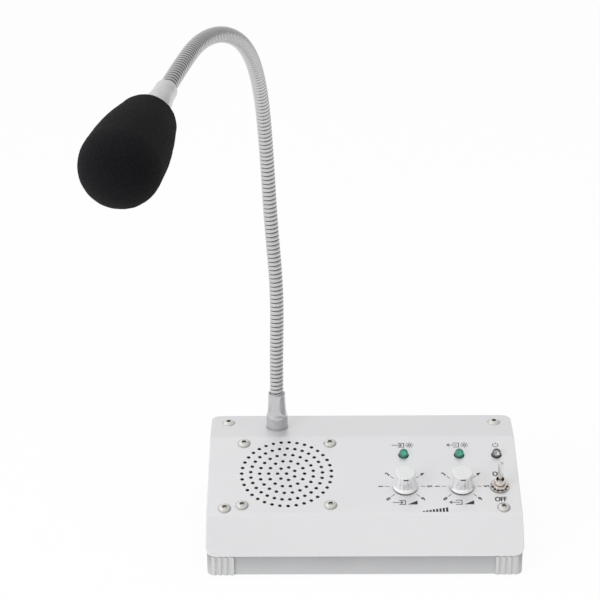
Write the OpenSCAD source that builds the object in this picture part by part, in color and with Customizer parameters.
// Teller window intercom: a sloping desk console with a loudspeaker, two volume knobs,
// three lamps and a power toggle, and a gooseneck microphone with a foam windscreen.
// Millimetres. X to the user's right, Y to the rear, Z up; the origin is on the counter,
// under the middle of the console.

/* [Console] */
// Width of the top panel
console_w = 175; // [165:1:190]
// Length of the level rear strip of the panel
rear_strip = 26; // [24:0.5:34]
// Length of the sloping deck of the panel
deck_len = 62; // [60:0.5:70]
// Length of the steep front strip of the panel
front_strip = 24; // [20:0.5:30]
// Slope of the deck, degrees
deck_tilt = 16; // [14:0.5:19]
// Slope of the front strip, degrees
front_tilt = 42; // [34:1:48]
// Height of the panel's front edge above the counter
front_h = 13; // [11:0.5:18]
// Thickness of the panel sheet
panel_t = 1.5; // [1:0.1:2.2]
// Outside radius of the panel's two bends
bend_r = 9; // [6:0.5:14]
// Radius of the panel's corners
corner_r = 5.5; // [4:0.5:7]

/* [Casing] */
// How far the casing stands in from the panel's edge
casing_inset = 0.6; // [0.4:0.1:1.2]
// Thickness of the casing wall at the corner columns
wall_t = 2.5; // [2.2:0.1:3.2]
// Depth of the recess between the corner columns
recess_d = 1.1; // [0.6:0.1:1.3]
// Width of a corner column
column_w = 15; // [13:0.5:18]
// Distance of the first flute from the casing's side
flute_first = 5.5; // [5.2:0.1:5.9]
// Distance between flutes
flute_pitch = 3.3; // [3:0.1:3.5]
// Radius of the cut of a flute
flute_r = 1.3; // [1:0.1:1.4]
// Depth of a flute
flute_d = 0.6; // [0.3:0.1:0.8]
// Number of flutes on each face of a corner column
flute_n = 3; // [2:1:3]
// Height of the casing's lower edge above the counter
casing_z = 0.5; // [0.3:0.1:0.8]
// Thickness of the rubber base pad
pad_t = 1; // [0.9:0.1:1.5]
// Thickness of the base plate
base_t = 1.5; // [1.2:0.1:2]
// Gap round the base plate and pad
base_gap = 0.2; // [0.1:0.05:0.5]
// Radius of a screw boss
boss_r = 4; // [3.6:0.1:4.6]

/* [Screws] */
// Distance of the panel screws from the panel's side edges
screw_side = 10; // [8.5:0.5:13.5]
// Distance of the rear screws from the rear edge
screw_rear = 8.8; // [8:0.1:12]
// Distance of the front screws from the front bend
screw_front = 4.8; // [3.2:0.1:6]
// Radius of the screw head
head_r = 3.75; // [3.4:0.05:4]
// Height of the screw head
head_h = 1.5; // [1.3:0.1:2.6]
// Across-flats size of the hexagon socket
socket_af = 2.5; // [2:0.1:3]
// Radius of the M4 shanks
m4_r = 1.95; // [1.8:0.05:2]
// Radius of the M3 shanks
m3_r = 1.45; // [1.3:0.05:1.5]
// Radial clearance of a shank in its thread
thread_gap = 0.05; // [0.02:0.01:0.1]
// Radial clearance of a shank in a plain hole
hole_gap = 0.25; // [0.15:0.05:0.4]
// Length of the panel screws under the head
panel_screw_l = 10; // [8:0.5:14]
// Length of the base screws
base_screw_l = 7; // [6:0.5:9]

/* [Loudspeaker] */
// Distance of the speaker's square flange from the panel's left edge
flange_side = 16.1; // [14:0.1:17.5]
// Distance of the outer ring of holes inside the rim of the cone's surround
grille_in = 0.1; // [0:0.05:1]
// Number of rings round the middle hole
ring_n = 5; // [3:1:5]
// Radius of a grille hole
grille_r = 1.05; // [0.8:0.05:1.3]
// Distance of the speaker screws from the flange's edges
screw_margin = 3.55; // [3.4:0.05:4]
// How far the speaker sits below the grille's centre
speaker_drop = 0.2; // [0:0.1:1.5]
// Distance of the speaker's square flange from the front bend
flange_front = 1.45; // [0.1:0.05:2]
// Distance of the speaker's square flange from the rear bend
flange_rear = 0.8; // [0.6:0.1:3]
// Thickness of the flange and basket
basket_t = 1.2; // [1:0.1:1.6]
// Thickness of the grille cloth
cloth_t = 0.4; // [0.2:0.1:0.6]
// Distance of the surround's rim inside the flange's edges
surround_in = 2.7; // [2.5:0.1:3.5]
// Width of the cone's surround
surround_w = 3; // [2.6:0.1:4]
// Depth of the basket
basket_d = 14; // [12:0.5:15]
// How much smaller the magnet's radius is than the cone's
magnet_in = 4.5; // [3:0.5:7]
// Thickness of the magnet and its plates
magnet_h = 8; // [6:0.5:9]

/* [Controls] */
// Distance of the row of controls behind the front bend
control_v = 21.4; // [20:0.2:22]
// Distance between the two knobs
knob_pitch = 31.75; // [29:0.25:33]
// Distance between the outside knob and the toggle
switch_pitch = 21.25; // [19.5:0.25:23]
// Distance of the toggle from the panel's right edge
switch_side = 11.1; // [10.5:0.1:13.5]
// Radius of a knob at its skirt
skirt_r = 7.2; // [6.9:0.1:7.8]
// Radius of a knob at its top
knob_top_r = 5.6; // [5.3:0.1:6.2]
// Height of a knob
knob_h = 10.8; // [9.5:0.1:13]
// Gap between knob and panel
knob_gap = 0.4; // [0.3:0.1:0.8]
// Radius of the potentiometer shaft
shaft_r = 3; // [2.8:0.05:3.1]
// Radial clearance of a turning shaft
run_gap = 0.05; // [0.03:0.01:0.1]
// Radius of the potentiometer bushing
pot_bush_r = 3.5; // [3.4:0.05:3.7]
// Radius of the potentiometer's case
pot_r = 8.2; // [7.5:0.1:9]
// Depth of the potentiometer's case
pot_d = 8; // [6:0.5:9]
// Distance of the row of lamps before the rear bend
lamp_rear = 15.5; // [14:0.1:17]
// Radius of a lamp lens
lamp_r = 2.5; // [2.3:0.05:2.6]
// How far a lamp stands above the panel
lamp_h = 4; // [3:0.1:5]
// Radius of the hole a lamp stands in
lamp_hole_r = 2.95; // [2.8:0.05:3.1]
// Length of a lamp from its foot to its tip
lamp_len = 8.6; // [8:0.1:9]
// Radius of the toggle's bushing
bush_r = 3; // [2.9:0.05:3.2]
// Height of the toggle's bushing above the panel
bush_h = 5.5; // [5:0.1:7]
// Across-flats size of the toggle's nut
switch_nut_af = 8; // [7.5:0.1:8.5]
// Radius of the toggle's lock washer
lock_washer_r = 5.6; // [5:0.1:6]
// Length of the lever above its pivot
lever_l = 13.5; // [11:0.5:16]
// Radius of the lever's round end
lever_r = 1.5; // [1.3:0.05:1.6]
// Lean of the lever from upright, degrees, both ways
lever_lean = 11; // [8:0.5:12]

/* [Neck] */
// Distance of the neck from the panel's left edge
neck_left = 38.4; // [31.5:0.1:41.5]
// Distance of the neck from the rear edge
neck_rear = 13.7; // [12.5:0.1:15]
// Outside radius of the gooseneck
neck_r = 4; // [3.8:0.05:4.4]
// Depth of the grooves between its turns
groove_d = 0.55; // [0.3:0.05:0.7]
// Radius of its bore
neck_bore = 2; // [1.6:0.1:2.2]
// Distance between its turns
turn_pitch = 2.5; // [2.2:0.1:2.8]
// Turns in each of its sections
section_turns = 17; // [14:1:18]
// Forward bend of each section, degrees
neck_fwd = [0.5, -1, 5, 15, 24.5, 19, 16, 13.5, 5];
// Sideways bend of each section, degrees
neck_side = [1.5, -6, 3, 2, 0, -4.5, -1, 4, -1];
// Direction in which the neck bends, degrees to the left of straight ahead
neck_turn = 10.5; // [0:0.5:30]
// Radius of the round end of a section
ball_r = 3.8; // [3.6:0.05:3.9]
// Radial clearance of a round end in its cup
ball_gap = 0.1; // [0.05:0.01:0.15]
// Radius of the collar's foot
collar_r = 6.2; // [6:0.1:7]
// Radius of the collar's stem at its rim
rim_r = 4.9; // [4.8:0.05:5.4]
// Height of the collar
collar_h = 21.2; // [18:0.2:26]
// Radius of the threaded stud under the collar
stud_r = 4.8; // [4.4:0.1:5]

/* [Microphone] */
// Length of the ferrule from the neck's end to the windscreen
ferrule_l = 22.6; // [18:0.2:28]
// Radius of the ferrule where the windscreen starts
ferrule_r = 6.1; // [5.8:0.1:6.6]
// Radius of the microphone's housing
housing_r = 5.2; // [4.8:0.1:5.6]
// Length of the housing inside the windscreen
housing_l = 42; // [34:1:46]
// Length of the microphone capsule
capsule_l = 6.5; // [5:0.5:8]
// Radius of the windscreen's round front
foam_r = 18; // [16:0.5:20]
// Radius of the windscreen's narrower rear
foam_rear_r = 13.7; // [12:0.1:15]
// Length of the windscreen
foam_l = 69; // [64:1:76]
// Radial clearance between windscreen and housing
foam_gap = 0.3; // [0.2:0.05:0.4]

/* [Circuit board] */
// Length of the circuit board, left to right
board_w = 66; // [62:1:68]
// Depth of the circuit board, front to rear
board_d = 66; // [60:1:72]
// Distance between the circuit board and the right-hand screw bosses
board_side = 3.5; // [2:0.5:5]
// Height of the standoffs under the circuit board
standoff_h = 5; // [4:0.5:7]
// Thickness of the circuit board
board_t = 1.6; // [1.2:0.1:2]
// Height of the largest capacitors
cap_h = 13; // [10:0.5:16]
// Radius of the largest capacitors
cap_r = 5; // [4:0.5:6]

/* [Sockets] */
// Distance of the power socket from the panel's right edge
power_side = 29.5; // [26:0.5:35]
// Distance between the power socket and the outside unit's socket
socket_pitch = 24; // [18:0.5:30]
// Height of the sockets above the counter
socket_z = 24; // [20:0.5:30]
// Radius of the power plug's hole
power_bore = 3.1; // [2.9:0.05:3.3]
// Radius of the power socket's pin
power_pin = 1.05; // [0.9:0.05:1.2]
// Radius of the audio plug's hole
line_bore = 1.8; // [1.75:0.01:1.9]
// Depth of the audio plug's hole
line_depth = 14; // [12:0.5:16]

/* [Hidden] */
$fn = 48;
e = 0.01;
big = 400;

// Places that follow from the panel's side profile
depth = rear_strip + deck_len * cos(deck_tilt) + front_strip * cos(front_tilt);
deck_y = -depth / 2 + front_strip * cos(front_tilt);
deck_z = front_h + front_strip * sin(front_tilt);
rear_bend_y = deck_y + deck_len * cos(deck_tilt);
top_z = deck_z + deck_len * sin(deck_tilt);
case_w = console_w - 2 * casing_inset;
case_d = depth - 2 * casing_inset;
case_r = corner_r - casing_inset;
floor_z = pad_t + base_t;

// Places measured from the panel's side edges
screw_x = console_w / 2 - screw_side;
neck_x = console_w / 2 - neck_left;
switch_x = console_w / 2 - switch_side;
knob_x = switch_x - switch_pitch - knob_pitch;
power_x = console_w / 2 - power_side;
line_x = power_x - socket_pitch;
board_x = screw_x - boss_r - board_side - board_w;
lamp_v = deck_len - lamp_rear;

// The speaker takes the flat part of the deck, between its two bends
front_tangent = bend_r * tan((front_tilt - deck_tilt) / 2);
rear_tangent = bend_r * tan(deck_tilt / 2);
flange_w = deck_len - front_tangent - rear_tangent - flange_front - flange_rear;
speaker_v = front_tangent + flange_front + flange_w / 2;
grille_x = console_w / 2 - flange_side - flange_w / 2;
grille_v = speaker_v + speaker_drop;
speaker_sq = flange_w - 2 * screw_margin;
surround_r = flange_w / 2 - surround_in;
cone_r = surround_r - surround_w;
magnet_r = cone_r - magnet_in;
ring_pitch = (surround_r - grille_in) / ring_n;

// Places in the neck and the microphone
section_l = section_turns * turn_pitch;
sections = len(neck_fwd);
insert_l = 2 * neck_r;
insert_r = neck_r - 0.4;
end_bore = neck_bore - 0.25;
rim_z = top_z + 1 + collar_h;
board_z = floor_z + standoff_h;

// ---- frames of reference -------------------------------------------------------------

// The deck: x across, v up the slope from the front bend, w out of the panel's face
module deck(x = 0, v = 0, w = 0) {
    translate([0, deck_y, deck_z]) rotate([deck_tilt, 0, 0]) translate([x, v, w]) children();
}

// The front strip: v down the slope from the front bend
module apron(x = 0, v = 0, w = 0) {
    translate([0, deck_y, deck_z]) rotate([front_tilt, 0, 0]) translate([x, -v, w]) children();
}

// The level rear strip: y measured in from the rear edge
module rear(x = 0, inward = 0, w = 0) {
    translate([x, depth / 2 - inward, top_z + w]) children();
}

function mat_mul(a, b) = [for (i = [0:3]) [for (j = [0:3])
    a[i][0] * b[0][j] + a[i][1] * b[1][j] + a[i][2] * b[2][j] + a[i][3] * b[3][j]]];

// Turn by ang about the axis n, which lies across the neck
function turn_about(n, ang) = let (c = cos(ang), s = sin(ang), k = 1 - c) [
    [c + n[0] * n[0] * k, n[0] * n[1] * k, n[1] * s, 0],
    [n[0] * n[1] * k, c + n[1] * n[1] * k, -n[0] * s, 0],
    [-n[1] * s, n[0] * s, c, 0],
    [0, 0, 0, 1]];
function shift(p) = [[1, 0, 0, p[0]], [0, 1, 0, p[1]], [0, 0, 1, p[2]], [0, 0, 0, 1]];

// The frame a distance s along an arc of length l that bends by fwd and side degrees
function along_arc(fwd, side, l, s) =
    let (bend = norm([fwd, side]), n = bend < 0.01 ? [1, 0] : [fwd, side] / bend,
        ang = bend * s / l, r = bend < 0.01 ? 0 : l / (bend * PI / 180))
    bend < 0.01 ? shift([0, 0, s])
    : mat_mul(shift([n[1] * r * (1 - cos(ang)), -n[0] * r * (1 - cos(ang)), r * sin(ang)]),
        turn_about(n, ang));

// The frame at the start of section k, counted from 0; k = sections is the neck's end
function neck_frame(k) = k == 0
    ? mat_mul(shift([-neck_x, depth / 2 - neck_rear, rim_z]),
        [[cos(neck_turn), sin(neck_turn), 0, 0], [-sin(neck_turn), cos(neck_turn), 0, 0],
            [0, 0, 1, 0], [0, 0, 0, 1]])
    : mat_mul(neck_frame(k - 1), along_arc(neck_fwd[k - 1], neck_side[k - 1],
        section_l, section_l));

// The microphone's frame: z runs forward out of the neck's end
module mic(s = 0) {
    multmatrix(neck_frame(sections)) translate([0, 0, s]) children();
}

// ---- shapes used more than once ------------------------------------------------------

// A plate with rounded corners, centred on x and y
module rounded_plate(w, d, t, r) {
    linear_extrude(t) rounded_outline(w, d, r);
}

module rounded_outline(w, d, r) {
    union() {
        square([w - 2 * r, d], center = true);
        square([w, d - 2 * r], center = true);
        for (x = [-1, 1], y = [-1, 1]) translate([x * (w / 2 - r), y * (d / 2 - r)]) circle(r);
    }
}

module hexagon(af, h) {
    cylinder(h = h, r = af / sqrt(3), $fn = 6);
}

// A nut with a plain bore, standing on z = 0
module nut(af, h, bore) {
    difference() {
        intersection() {
            hexagon(af, h);
            cylinder(h = h, r1 = af / 2 + h, r2 = af / 2 + 0.25);
        }
        translate([0, 0, -e]) cylinder(h = h + 2 * e, r = bore);
    }
}

module ring(outer, inner, h) {
    difference() {
        cylinder(h = h, r = outer);
        translate([0, 0, -e]) cylinder(h = h + 2 * e, r = inner);
    }
}

// A button-head screw with its head standing on z = 0 and its shank below
module button_screw(l) {
    dome = (head_r * head_r + head_h * head_h) / (2 * head_h) * 1.02;
    difference() {
        union() {
            intersection() {
                cylinder(h = head_h, r = head_r);
                translate([0, 0, head_h - dome]) sphere(dome);
            }
            translate([0, 0, -l]) cylinder(h = l + e, r = m4_r);
        }
        translate([0, 0, head_h * 0.42]) hexagon(socket_af, head_h);
    }
}

// Both the four speaker screw places, in the deck's own x and v
module speaker_holes() {
    for (x = [-1, 1], v = [-1, 1])
        translate([-grille_x + x * speaker_sq / 2, speaker_v + v * speaker_sq / 2]) children();
}

// ---- console shell -------------------------------------------------------------------

// Points of the panel's side profile at a depth d under its top face. A bend is an arc
// about the same centre on both faces.
function bend_arc(p, a1, a2, d) =
    let (half = (a1 - a2) / 2, mid = (a1 + a2) / 2,
        c = p + bend_r / cos(half) * [sin(mid), -cos(mid)], steps = 5)
    [for (i = [0:steps]) let (a = a1 + (a2 - a1) * i / steps)
        c + (bend_r - d) * [-sin(a), cos(a)]];
function sheet_line(d) = concat(
    [[-depth / 2, front_h] + d * [sin(front_tilt), -cos(front_tilt)]],
    bend_arc([deck_y, deck_z], front_tilt, deck_tilt, d),
    bend_arc([rear_bend_y, top_z], deck_tilt, 0, d),
    [[depth / 2, top_z - d]]);
function reversed(list) = [for (i = [len(list) - 1:-1:0]) list[i]];

// Extrude a side profile, given as [y, z] points, across the console
module across(w) {
    translate([-w / 2, 0, 0]) rotate([90, 0, 90]) linear_extrude(w) children();
}

// What is trimmed off to round the panel's four corners
module corner_trim() {
    difference() {
        translate([0, 0, -big / 2]) cube([corner_r + 5, corner_r + 5, big]);
        translate([0, 0, -big / 2 - e]) cylinder(h = big + 2 * e, r = corner_r);
    }
}

module grille_holes() {
    // Holes in each ring, and the bearing of the first one
    ring_holes = [1, 7, 14, 21, 29, 35];
    ring_start = [0, 25.5, -0.3, 8.4, 2.5, 4.9];
    for (k = [0:ring_n], i = [0:ring_holes[k] - 1])
        rotate(ring_start[k] + i * 360 / ring_holes[k]) translate([k * ring_pitch, 0]) children();
}

module panel() color("gainsboro") difference() {
    across(console_w) polygon(concat(sheet_line(0), reversed(sheet_line(panel_t))));
    for (x = [-1, 1]) {
        rear(x * (console_w / 2 - corner_r), corner_r) scale([x, 1, 1]) corner_trim();
        apron(x * (console_w / 2 - corner_r), front_strip - corner_r)
            scale([x, -1, 1]) corner_trim();
        rear(x * screw_x, screw_rear, -5) cylinder(h = 10, r = m4_r + hole_gap);
        deck(x * screw_x, screw_front, -5) cylinder(h = 10, r = m4_r + hole_gap);
    }
    deck(0, 0, -5) {
        translate([-grille_x, grille_v]) grille_holes() cylinder(h = 10, r = grille_r);
        speaker_holes() cylinder(h = 10, r = m4_r + hole_gap);
        for (x = [knob_x, knob_x + knob_pitch]) {
            translate([x, control_v]) cylinder(h = 10, r = pot_bush_r + hole_gap);
            translate([x, lamp_v]) cylinder(h = 10, r = lamp_hole_r);
        }
        translate([switch_x, control_v]) cylinder(h = 10, r = bush_r + hole_gap);
        translate([switch_x, lamp_v]) cylinder(h = 10, r = lamp_hole_r);
    }
    rear(-neck_x, neck_rear, -5) cylinder(h = 10, r = stud_r + hole_gap);
}

// Everything under the panel's sheet, for trimming what stands against it
module under_panel() {
    across(big) polygon(concat(sheet_line(panel_t), [[depth, top_z - panel_t], [depth, -1],
        [-depth, -1], [-depth, sheet_line(panel_t)[0][1]]]));
}

module boss_holes() {
    for (x = [-1, 1]) {
        rear(x * screw_x, screw_rear, -panel_t - panel_screw_l) {
            cylinder(h = panel_screw_l + 5, r = m4_r + thread_gap);
        }
        deck(x * screw_x, screw_front, -panel_t - panel_screw_l) {
            cylinder(h = panel_screw_l + 5, r = m4_r + thread_gap);
        }
        for (y = base_screw_y) translate([x * screw_x, y, floor_z - e]) {
            cylinder(h = base_screw_l, r = m3_r + thread_gap);
        }
    }
}

// The base screws go into the feet of the panel screws' bosses. The front bosses lean.
boss_top_y = deck_y + screw_front * cos(deck_tilt);
boss_fall = deck_z + screw_front * sin(deck_tilt) - floor_z - base_screw_l / 2;
base_screw_y = [boss_top_y + boss_fall * tan(deck_tilt), depth / 2 - screw_rear];

module casing() color("silver") difference() {
    intersection() {
        union() {
            translate([0, 0, casing_z]) difference() {
                rounded_plate(case_w, case_d, top_z, case_r);
                translate([0, 0, -e]) rounded_plate(case_w - 2 * wall_t, case_d - 2 * wall_t,
                    top_z + 1, case_r - wall_t / 2);
            }
            intersection() {
                for (x = [-1, 1]) {
                    rear(0, screw_rear, -top_z) boss(x, top_z);
                    deck(0, screw_front, -top_z) boss(x, top_z);
                }
                translate([-big / 2, -big / 2, floor_z]) cube([big, big, top_z]);
            }
        }
        under_panel();
    }
    // Recesses between the corner columns, front and rear, then left and right
    for (y = [-1, 1]) translate([0, y * case_d / 2, top_z / 2]) {
        cube([case_w - 2 * column_w, 2 * recess_d, 2 * top_z], center = true);
    }
    for (x = [-1, 1]) translate([x * case_w / 2, 0, top_z / 2]) {
        cube([2 * recess_d, case_d - 2 * column_w, 2 * top_z], center = true);
    }
    for (x = [-1, 1], y = [-1, 1], i = [0:flute_n - 1]) {
        along = flute_first + i * flute_pitch;
        translate([x * (case_w / 2 - along), y * (case_d / 2 + flute_r - flute_d), -1]) {
            cylinder(h = top_z + 2, r = flute_r);
        }
        translate([x * (case_w / 2 + flute_r - flute_d), y * (case_d / 2 - along), -1]) {
            cylinder(h = top_z + 2, r = flute_r);
        }
    }
    boss_holes();
    for (x = [power_x, line_x]) translate([x, case_d / 2 + 5, socket_z]) rotate([90, 0, 0]) {
        cylinder(h = 15, r = (x == power_x ? power_thread_r : line_thread_r) + hole_gap);
    }
}

// A screw boss and the web that ties it to the casing's side wall
module boss(x, h) {
    inner = case_w / 2 - wall_t;
    translate([x * screw_x, 0, 0]) cylinder(h = h, r = boss_r);
    translate([x > 0 ? screw_x : -inner - e, -1.5, 0]) cube([inner - screw_x + e, 3, h]);
}

module base_outline(extra = 0) {
    rounded_outline(case_w - 2 * wall_t - 2 * base_gap, case_d - 2 * wall_t - 2 * base_gap,
        case_r - wall_t / 2);
}

module base_plate() color("lightgray") difference() {
    translate([0, 0, pad_t]) linear_extrude(base_t) base_outline();
    for (x = [-1, 1], y = base_screw_y) translate([x * screw_x, y, pad_t - e]) {
        cylinder(h = base_t + 2 * e, r1 = m3_r + base_t + hole_gap, r2 = m3_r + hole_gap);
    }
    for (p = standoff_places) translate([p[0], p[1], pad_t - e]) {
        cylinder(h = base_t + 2 * e, r = m3_r + hole_gap);
    }
}

module base_pad() color("dimgray") difference() {
    linear_extrude(pad_t) base_outline();
    for (x = [-1, 1], y = base_screw_y) translate([x * screw_x, y, -e]) {
        cylinder(h = pad_t + 2 * e, r = m3_r + base_t + 2 * hole_gap);
    }
}

module base_screws() color("gray") {
    for (x = [-1, 1], y = base_screw_y) translate([x * screw_x, y, pad_t]) difference() {
        union() {
            cylinder(h = base_t, r1 = m3_r + base_t, r2 = m3_r);
            cylinder(h = base_t + base_screw_l - 1, r = m3_r);
        }
        translate([0, 0, -e]) hexagon(2, 0.8);
    }
}

module panel_screws() color("wheat") for (x = [-1, 1]) {
    rear(x * screw_x, screw_rear) button_screw(panel_screw_l);
    deck(x * screw_x, screw_front) button_screw(panel_screw_l);
}

// ---- loudspeaker ---------------------------------------------------------------------

flange_w0 = -panel_t - cloth_t;
speaker_screw_l = panel_t + cloth_t + basket_t + 4;
basket_low_r = magnet_r - 1;

module speaker_screws() color("wheat") {
    deck() speaker_holes() button_screw(speaker_screw_l);
}

module speaker_nuts() color("silver") {
    deck(0, 0, flange_w0 - basket_t - 3) speaker_holes() nut(7, 3, m4_r + thread_gap);
}

module grille_cloth() color([0.08, 0.08, 0.08]) deck(0, 0, flange_w0) difference() {
    translate([-grille_x, speaker_v]) rounded_plate(flange_w, flange_w, cloth_t, 4);
    translate([0, 0, -1]) speaker_holes() cylinder(h = 3, r = m4_r + hole_gap);
}

// The speaker's own frame: z = 0 on the face of its flange, z pointing out of the panel
module speaker() {
    deck(-grille_x, speaker_v, flange_w0) children();
}

module speaker_basket() color("dimgray") speaker() difference() {
    union() {
        translate([0, 0, -basket_t]) rounded_plate(flange_w, flange_w, basket_t, 4);
        translate([0, 0, -basket_d]) cylinder(h = basket_d - basket_t + e, r1 = magnet_r,
            r2 = surround_r + 1.5);
    }
    translate([0, 0, -basket_d + basket_t]) cylinder(h = basket_d - 2 * basket_t,
        r1 = basket_low_r, r2 = surround_r - 1);
    translate([0, 0, -basket_t - e]) cylinder(h = basket_t + 1, r = surround_r - 1);
    translate([0, 0, seat_z]) cylinder(h = 2, r = surround_r + thread_gap);
    translate([0, 0, -basket_d - e]) cylinder(h = basket_t + 1, r = coil_r + 1.6);
    for (x = [-1, 1], v = [-1, 1]) translate([x * speaker_sq / 2, v * speaker_sq / 2, -2]) {
        cylinder(h = 4, r = m4_r + hole_gap);
    }
    // Windows in the basket's side
    for (i = [0:3]) rotate(45 + 90 * i) translate([magnet_r + 3, 0, -basket_d / 2]) rotate([0, 90, 0]) {
        cylinder(h = 14, r = 3.5, center = true);
    }
}

coil_r = 8.5;
cone_d = 8;
seat_z = -0.8;
roll_r = 0.7;
lap = 0.8;

// The soft roll that ties the cone to the flange
module speaker_surround() color([0.12, 0.12, 0.12]) speaker() translate([0, 0, seat_z]) {
    difference() {
        union() {
            ring(surround_r, cone_r - lap, 0.3);
            rotate_extrude() translate([(surround_r + cone_r) / 2, 0]) intersection() {
                circle(roll_r);
                translate([-roll_r, 0]) square([2 * roll_r, roll_r]);
            }
        }
        translate([0, 0, -e]) rotate_extrude() translate([(surround_r + cone_r) / 2, 0]) {
            circle(roll_r - 0.3);
        }
    }
}

// The cone, with its coil's former below and a ledge for the dust cap
module speaker_cone() color([0.2, 0.2, 0.2]) speaker() translate([0, 0, seat_z]) {
    rotate_extrude() polygon([[cone_r - lap, 0], [cone_r, 0], [cone_r, -0.4],
        [coil_r + 0.5, -cone_d], [coil_r + 0.5, -cone_d - 5], [coil_r, -cone_d - 5],
        [coil_r, -cone_d - 0.5], [coil_r - 0.8, -cone_d - 0.5], [coil_r - 0.8, -cone_d],
        [coil_r, -cone_d]]);
}

module speaker_dust_cap() color([0.1, 0.1, 0.1]) speaker() {
    cap_r0 = 10.4;
    drop = sqrt(cap_r0 * cap_r0 - coil_r * coil_r);
    translate([0, 0, seat_z - cone_d]) intersection() {
        difference() {
            translate([0, 0, -drop]) sphere(cap_r0);
            translate([0, 0, -drop]) sphere(cap_r0 - 0.4);
        }
        cylinder(h = 8, r = coil_r + 1);
    }
}

module speaker_magnet() color([0.25, 0.25, 0.27]) speaker() {
    translate([0, 0, -basket_d - magnet_h]) difference() {
        union() {
            ring(magnet_r, coil_r + 1.6, magnet_h);
            cylinder(h = 1.8, r = magnet_r - 1);
            cylinder(h = magnet_h + 1, r = coil_r - 0.6);
        }
        translate([0, 0, -e]) cylinder(h = magnet_h + 3, r = 2.5);
    }
}

// ---- circuit board -------------------------------------------------------------------

standoff_in = 4;
standoff_places = [for (x = [board_x + standoff_in, board_x + board_w - standoff_in],
    y = [-board_d / 2 + standoff_in, board_d / 2 - standoff_in]) [x, y]];

module at_standoffs(z) {
    for (p = standoff_places) translate([p[0], p[1], z]) children();
}

module circuit_board() color("darkgreen") difference() {
    translate([board_x, -board_d / 2, board_z]) cube([board_w, board_d, board_t]);
    at_standoffs(board_z - 1) cylinder(h = board_t + 2, r = m3_r + hole_gap);
}

module board_standoffs() color("goldenrod") at_standoffs(floor_z) difference() {
    hexagon(5.5, standoff_h);
    translate([0, 0, -e]) cylinder(h = standoff_h + 2 * e, r = m3_r + thread_gap);
}

module board_screws() color("silver") at_standoffs(board_z + board_t) difference() {
    union() {
        cylinder(h = 1.8, r = 2.75);
        translate([0, 0, -board_t - 2]) cylinder(h = board_t + 2 + e, r = m3_r);
    }
    translate([0, 0, 1]) hexagon(2, 2);
}

module capacitors() color("navy") translate([board_x, 0, board_z + board_t]) {
    for (x = [42, 29]) translate([board_w - x, board_d / 2 - 10, 0]) cylinder(h = cap_h, r = cap_r);
    for (x = [18, 10]) translate([board_w - x, board_d / 2 - 8, 0]) {
        cylinder(h = cap_h * 0.6, r = cap_r * 0.6);
    }
    for (x = [54, 44, 34]) translate([board_w - x, -board_d / 2 + 17, 0]) cylinder(h = 5, r = 2);
}

heat_sink_x = 8;
heat_sink_y = 6;

module heat_sink() color("dimgray") translate([board_x + heat_sink_x, heat_sink_y, board_z + board_t]) {
    cube([3, 16, 12]);
    for (i = [0:3]) translate([-4, i * 4.8, 0]) cube([4 + e, 1.6, 12]);
}

module amplifier_chip() color([0.1, 0.1, 0.1]) {
    translate([board_x + heat_sink_x + 3, heat_sink_y + 2, board_z + board_t]) {
        translate([0, 0, 2]) cube([3.5, 12, 9]);
        for (i = [0:4]) translate([1.4, 1.2 + i * 2.2, 0]) cube([0.6, 0.8, 2 + e]);
    }
}

module wire_headers() color("white") for (x = [37, 27, 17]) {
    translate([board_x + board_w - x, -board_d / 2 + 4, board_z + board_t]) difference() {
        cube([7, 5.5, 5]);
        translate([0.8, 0.8, 1.5]) cube([5.4, 3.9, 5]);
    }
}

// ---- volume controls -----------------------------------------------------------------

pot_nut_af = 9;
pot_nut_h = 2;
push_gap = 0.02;
bush_top = 3.4;

// The case and bushing of a potentiometer, its axis along w
module pot(x) color("silver") deck(x, control_v) difference() {
    union() {
        translate([0, 0, -panel_t - pot_d]) cylinder(h = pot_d, r = pot_r);
        translate([0, 0, -panel_t - e]) cylinder(h = panel_t + bush_top, r = pot_bush_r);
        for (i = [-1:1]) translate([i * 4 - 0.6, -pot_r - 4, -panel_t - pot_d + 1]) {
            cube([1.2, 5, 0.6]);
        }
    }
    translate([0, 0, -panel_t - pot_d + 2]) cylinder(h = 30, r = shaft_r + run_gap);
}

module pot_nut(x) color("silver") deck(x, control_v) nut(pot_nut_af, pot_nut_h,
    pot_bush_r + thread_gap);

module pot_shaft(x) color("lightgray") deck(x, control_v) {
    translate([0, 0, -panel_t - pot_d + 2.1]) {
        cylinder(h = panel_t + pot_d - 2.1 + knob_gap + knob_h - 1.9, r = shaft_r);
    }
}

// The knob's outside and inside, turned about the shaft
module knob(x) color("white") deck(x, control_v, knob_gap) rotate_extrude() {
    skirt_h = 2.4;
    waist_r = (skirt_r + 3 * knob_top_r) / 4 + 0.2;
    nut_room = pot_nut_af / sqrt(3) + 0.3;
    nut_top = pot_nut_h - knob_gap + 0.3;
    bush_room = pot_bush_r + 0.3;
    hollow_h = bush_top - knob_gap + 0.3;
    polygon([[nut_room, 0], [skirt_r - 0.2, 0], [skirt_r, 0.4],
        [skirt_r - 0.35, skirt_h * 0.6], [(skirt_r + waist_r) / 2 - 0.2, skirt_h],
        [waist_r, skirt_h + 1.2], [knob_top_r, knob_h - 0.3], [knob_top_r - 0.3, knob_h],
        [0, knob_h], [0, knob_h - 1.9], [shaft_r + push_gap, knob_h - 1.9],
        [shaft_r + push_gap, hollow_h], [bush_room, hollow_h], [bush_room, nut_top],
        [nut_room, nut_top]]);
}

// ---- lamps ---------------------------------------------------------------------------

lamp_foot = lamp_h - lamp_len;
lamp_board_t = 1.2;
lamp_board_d = 9;

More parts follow.
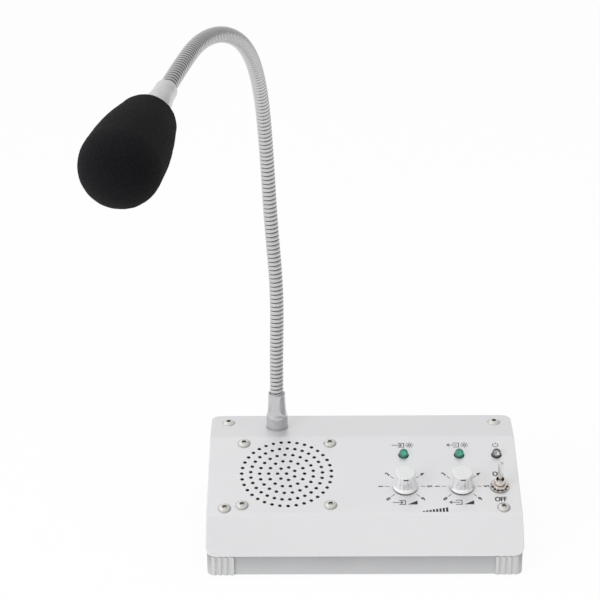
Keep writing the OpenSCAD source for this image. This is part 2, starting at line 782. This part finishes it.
module lamp(x, hue) color(hue) deck(x, lamp_v) {
    translate([0, 0, lamp_h - lamp_r]) sphere(lamp_r);
    translate([0, 0, lamp_foot]) cylinder(h = lamp_len - lamp_r, r = lamp_r);
    translate([0, 0, lamp_foot]) cylinder(h = 1, r = lamp_hole_r - 0.1);
}

module lamp_board() color("darkgreen") {
    deck(knob_x - 10, lamp_v - lamp_board_d / 2, lamp_foot - lamp_board_t) {
        cube([switch_x - knob_x + 15, lamp_board_d, lamp_board_t]);
    }
}

module lamp_spacers() color("white") {
    for (x = [knob_x + knob_pitch / 2, switch_x - 9, knob_x - 7]) {
        deck(x, lamp_v, lamp_foot) cylinder(h = -panel_t - lamp_foot, r = 2);
    }
}

// ---- power toggle --------------------------------------------------------------------

lock_washer_t = 0.5;
pivot_w = bush_h - 2.3;
switch_case_d = 9;

module switch_case() color("silver") deck(switch_x, control_v) difference() {
    union() {
        translate([-4, -6.5, -panel_t - switch_case_d]) cube([8, 13, switch_case_d]);
        translate([0, 0, -panel_t - e]) cylinder(h = panel_t + bush_h, r = bush_r);
        for (v = [-4.5, 0, 4.5]) translate([-1, v - 0.4, -panel_t - switch_case_d - 4]) {
            cube([2, 0.8, 4 + e]);
        }
    }
    translate([0, 0, -panel_t - 4]) cylinder(h = panel_t + 4 + pivot_w + 1, r = lever_ball_r + run_gap);
    translate([0, 0, pivot_w + 1]) cylinder(h = bush_h - pivot_w, r1 = lever_ball_r + run_gap,
        r2 = bush_r - 0.5);
}

lever_ball_r = 1.95;

module switch_lock_washer() color("silver") deck(switch_x, control_v) difference() {
    ring(lock_washer_r, bush_r + thread_gap, lock_washer_t);
    for (i = [0:11]) rotate(i * 30 + 15) translate([bush_r + 1.6, 0, -e]) {
        cylinder(h = 1, r = 0.5);
    }
}

module switch_nut() color("wheat") {
    deck(switch_x, control_v, lock_washer_t) nut(switch_nut_af, 2, bush_r + thread_gap);
}

// The lever leans back, which is ON
module switch_lever() color("wheat") deck(switch_x, control_v, pivot_w) rotate([-lever_lean, 0, 0]) {
    sphere(lever_ball_r);
    cylinder(h = lever_l - lever_r, r1 = 1.1, r2 = lever_r);
    translate([0, 0, lever_l - lever_r]) sphere(lever_r);
    translate([0, 0, -4]) cylinder(h = 4, r = 0.9);
}

// ---- sockets on the rear wall --------------------------------------------------------

power_thread_r = 5.4;
line_thread_r = 3;
wall_face = case_d / 2 - recess_d;
inner_face = case_d / 2 - wall_t;

// Frame of a socket: z runs forward into the console from the wall's outside face
module socket_at(x, z = 0) {
    translate([x, wall_face - z, socket_z]) rotate([90, 0, 0]) children();
}

module power_socket() color([0.12, 0.12, 0.12]) socket_at(power_x) {
    difference() {
        union() {
            translate([0, 0, -1.2]) cylinder(h = 1.2, r = 6.6);
            cylinder(h = 13, r = power_thread_r);
        }
        translate([0, 0, -1.2 - e]) cylinder(h = 10.5, r = power_bore);
    }
    translate([0, 0, 0]) cylinder(h = 10, r = power_pin);
}

module power_socket_nut() color("silver") {
    socket_at(power_x, wall_face - inner_face) nut(13, 2, power_thread_r + thread_gap);
}

module line_socket() color([0.12, 0.12, 0.12]) socket_at(line_x) difference() {
    union() {
        translate([0, 0, wall_face - inner_face]) cylinder(h = line_depth, r = 4.5);
        translate([0, 0, -2]) cylinder(h = line_depth, r = line_thread_r);
    }
    translate([0, 0, -2 - e]) cylinder(h = line_depth, r = line_bore);
}

module line_socket_nut() color("silver") {
    socket_at(line_x, -1.5) ring(4.4, line_thread_r + thread_gap, 1.5);
}

// ---- gooseneck -----------------------------------------------------------------------

stud_l = 10;
neck_nut_h = 3;

module neck_axis(w = 0) {
    rear(-neck_x, neck_rear, w) children();
}

module neck_washer() color("white") neck_axis() ring(collar_r + 0.15, stud_r + hole_gap, 1);

module neck_collar() color("white") neck_axis(1) difference() {
    union() {
        rotate_extrude() polygon([[0, 0], [collar_r - 0.3, 0], [collar_r, 0.3],
            [collar_r, collar_h * 0.28], [collar_r - 0.5, collar_h * 0.36],
            [rim_r + 0.6, collar_h * 0.43], [rim_r, collar_h - 0.4],
            [rim_r - 0.3, collar_h], [0, collar_h]]);
        translate([0, 0, -stud_l]) cylinder(h = stud_l + e, r = stud_r);
    }
    translate([0, 0, collar_h - insert_l]) cylinder(h = insert_l + 1, r = neck_r + thread_gap);
    translate([0, 0, -stud_l - 1]) cylinder(h = big, r = neck_bore);
}

module neck_nut() color("silver") {
    neck_axis(-panel_t - neck_nut_h) nut(13, neck_nut_h, stud_r + thread_gap);
}

// A ribbed tube along section k, between the distances s0 and s1 on its arc. Each turn is
// two rings of eight points, and the bore has a ring at every third turn.
function tube_ring(k, s, r) =
    let (m = mat_mul(neck_frame(k), along_arc(neck_fwd[k], neck_side[k], section_l, s)))
    [for (i = [0:7]) let (a = 45 * i + 22.5)
        [for (row = [0:2]) m[row][0] * r * cos(a) + m[row][1] * r * sin(a) + m[row][3]]];

module ribbed_tube(k, s0, s1) {
    n = round((s1 - s0) / turn_pitch);
    step = (s1 - s0) / n;
    outer = [for (i = [0:n - 1], half = [0, 1]) tube_ring(k, s0 + (i + half / 2) * step,
        half == 0 ? neck_r - groove_d : neck_r), tube_ring(k, s1, neck_r - groove_d)];
    inner = [for (i = [0:3:n - 1]) tube_ring(k, s0 + i * step, neck_bore),
        tube_ring(k, s1, neck_bore)];
    tube_shell(outer, inner);
}

// Join the outer and the inner rings, listed from one end to the other, into one tube
module tube_shell(outer, inner) {
    sides = 8;
    no = len(outer);
    ni = len(inner);
    base = no * sides;
    function nxt(i) = (i + 1) % sides;
    polyhedron(points = concat([for (r = outer) each r], [for (r = inner) each r]),
        faces = concat(
            [for (k = [0:no - 2], i = [0:sides - 1])
                each [[k * sides + i, (k + 1) * sides + i, k * sides + nxt(i)],
                    [k * sides + nxt(i), (k + 1) * sides + i, (k + 1) * sides + nxt(i)]]],
            [for (k = [0:ni - 2], i = [0:sides - 1])
                each [[base + k * sides + i, base + k * sides + nxt(i), base + (k + 1) * sides + i],
                    [base + k * sides + nxt(i), base + (k + 1) * sides + nxt(i),
                        base + (k + 1) * sides + i]]],
            [for (i = [0:sides - 1]) each [[i, nxt(i), base + i], [nxt(i), base + nxt(i), base + i]]],
            [for (i = [0:sides - 1]) let (o = (no - 1) * sides, b = base + (ni - 1) * sides)
                each [[o + i, b + i, o + nxt(i)], [o + nxt(i), b + i, b + nxt(i)]]]));
}

cup_from = 1.2;
cup_to = 4.2;
ball_neck = 1.8;

// One section of the neck: a cup at its lower end, the wound tube, and a round upper end.
// The first section's foot stands in the collar and the last one's end in the ferrule.
module neck_section(k) color("whitesmoke") {
    first = k == 0;
    last = k == sections - 1;
    ribbed_tube(k, first ? 0 : cup_to - 0.4, last ? section_l : section_l - ball_neck + 0.2);
    if (first) multmatrix(neck_frame(k)) translate([0, 0, -insert_l]) {
        ring(neck_r, end_bore, insert_l - 0.4);
        ring(insert_r, end_bore, insert_l + 0.2);
    }
    if (!first) multmatrix(neck_frame(k)) difference() {
        translate([0, 0, cup_from]) cylinder(h = cup_to - cup_from, r = neck_r);
        sphere(ball_r + ball_gap);
        cylinder(h = big, r = end_bore, center = true);
    }
    if (last) multmatrix(neck_frame(k + 1)) translate([0, 0, -0.2]) {
        ring(insert_r, end_bore, insert_l - 1);
    }
    if (!last) multmatrix(neck_frame(k + 1)) difference() {
        union() {
            sphere(ball_r);
            translate([0, 0, -ball_neck]) cylinder(h = ball_neck, r = ball_r - 0.2);
        }
        cylinder(h = big, r = end_bore, center = true);
    }
}

// ---- microphone ----------------------------------------------------------------------

grub_r = 1.2;
grub_s = 3.4;

// Frame of the ferrule's grub screw, pointing out through the ferrule's wall
module grub_axis() {
    mic(grub_s) rotate([0, 0, 40]) rotate([0, 90, 0]) children();
}

module mic_ferrule() color("whitesmoke") difference() {
    mic() rotate_extrude() polygon([[0, 0], [neck_r + 0.9, 0], [neck_r + 1.1, 0.3],
        [neck_r + 1.2, 7], [ferrule_r, 14], [ferrule_r, ferrule_l],
        [housing_r - 0.4, ferrule_l], [0, ferrule_l]]);
    mic(-e) cylinder(h = insert_l, r = insert_r + thread_gap);
    mic(-e) cylinder(h = big, r = end_bore);
    grub_axis() translate([0, 0, neck_bore]) cylinder(h = 8, r = grub_r + thread_gap);
}

module mic_set_screw() color("gray") grub_axis() {
    translate([0, 0, insert_r + 0.02]) difference() {
        cylinder(h = 1.3, r = grub_r);
        translate([0, 0, 0.5]) hexagon(1.1, 2);
    }
}

module mic_housing() color([0.2, 0.2, 0.22]) mic(ferrule_l) difference() {
    cylinder(h = housing_l, r = housing_r);
    translate([0, 0, housing_l - capsule_l - 1.5]) cylinder(h = capsule_l + 0.5, r = housing_r - 0.6);
    translate([0, 0, -e]) cylinder(h = housing_l - capsule_l - 0.5, r = neck_bore);
    for (i = [0:6]) rotate(i * 60) translate([i == 6 ? 0 : 2.6, 0, housing_l - 2]) {
        cylinder(h = 3, r = 0.6);
    }
}

module mic_capsule() color("silver") mic(ferrule_l + housing_l - capsule_l - 1.5) difference() {
    cylinder(h = capsule_l, r = housing_r - 0.65);
    translate([0, 0, capsule_l - 0.5]) cylinder(h = 1, r = 1);
}

// The windscreen's side is the straight line that touches both of its round ends
module windscreen() color([0.1, 0.1, 0.1]) mic(ferrule_l) difference() {
    rotate_extrude() foam_profile();
    translate([0, 0, -1]) cylinder(h = housing_l + 1 + 2, r = housing_r + foam_gap);
    translate([0, 0, -1]) cylinder(h = 1 + foam_gap, r = ferrule_r + foam_gap);
}

module foam_profile() {
    run = foam_l - foam_r - foam_rear_r;
    side = asin((foam_r - foam_rear_r) / run);
    steps = 9;
    polygon(concat([[0, 0]],
        [for (i = [1:steps]) let (a = (90 + side) * i / steps)
            [foam_rear_r * sin(a), foam_rear_r * (1 - cos(a))]],
        [for (i = [0:steps]) let (a = side + (90 - side) * i / steps)
            [foam_r * cos(a), foam_rear_r + run + foam_r * sin(a)]]));
}

// ---- output --------------------------------------------------------------------------

panel();
casing();
base_plate();
base_pad();
base_screws();
panel_screws();
speaker_screws();
speaker_nuts();
grille_cloth();
speaker_basket();
speaker_surround();
speaker_cone();
speaker_dust_cap();
speaker_magnet();
circuit_board();
board_standoffs();
board_screws();
capacitors();
heat_sink();
amplifier_chip();
wire_headers();
pot(knob_x);  // internal_pot
pot_nut(knob_x);  // internal_pot_nut
pot_shaft(knob_x);  // internal_pot_shaft
knob(knob_x);  // internal_knob
pot(knob_x + knob_pitch);  // external_pot
pot_nut(knob_x + knob_pitch);  // external_pot_nut
pot_shaft(knob_x + knob_pitch);  // external_pot_shaft
knob(knob_x + knob_pitch);  // external_knob
lamp(knob_x, "seagreen");  // internal_lamp
lamp(knob_x + knob_pitch, "seagreen");  // external_lamp
lamp(switch_x, "lightgray");  // power_lamp
lamp_board();
lamp_spacers();
switch_case();
switch_lock_washer();
switch_nut();
switch_lever();
power_socket();
power_socket_nut();
line_socket();
line_socket_nut();
neck_collar();
neck_washer();
neck_nut();
for (k = [0:sections - 1]) neck_section(k);
mic_ferrule();
mic_set_screw();
mic_housing();
mic_capsule();
windscreen();
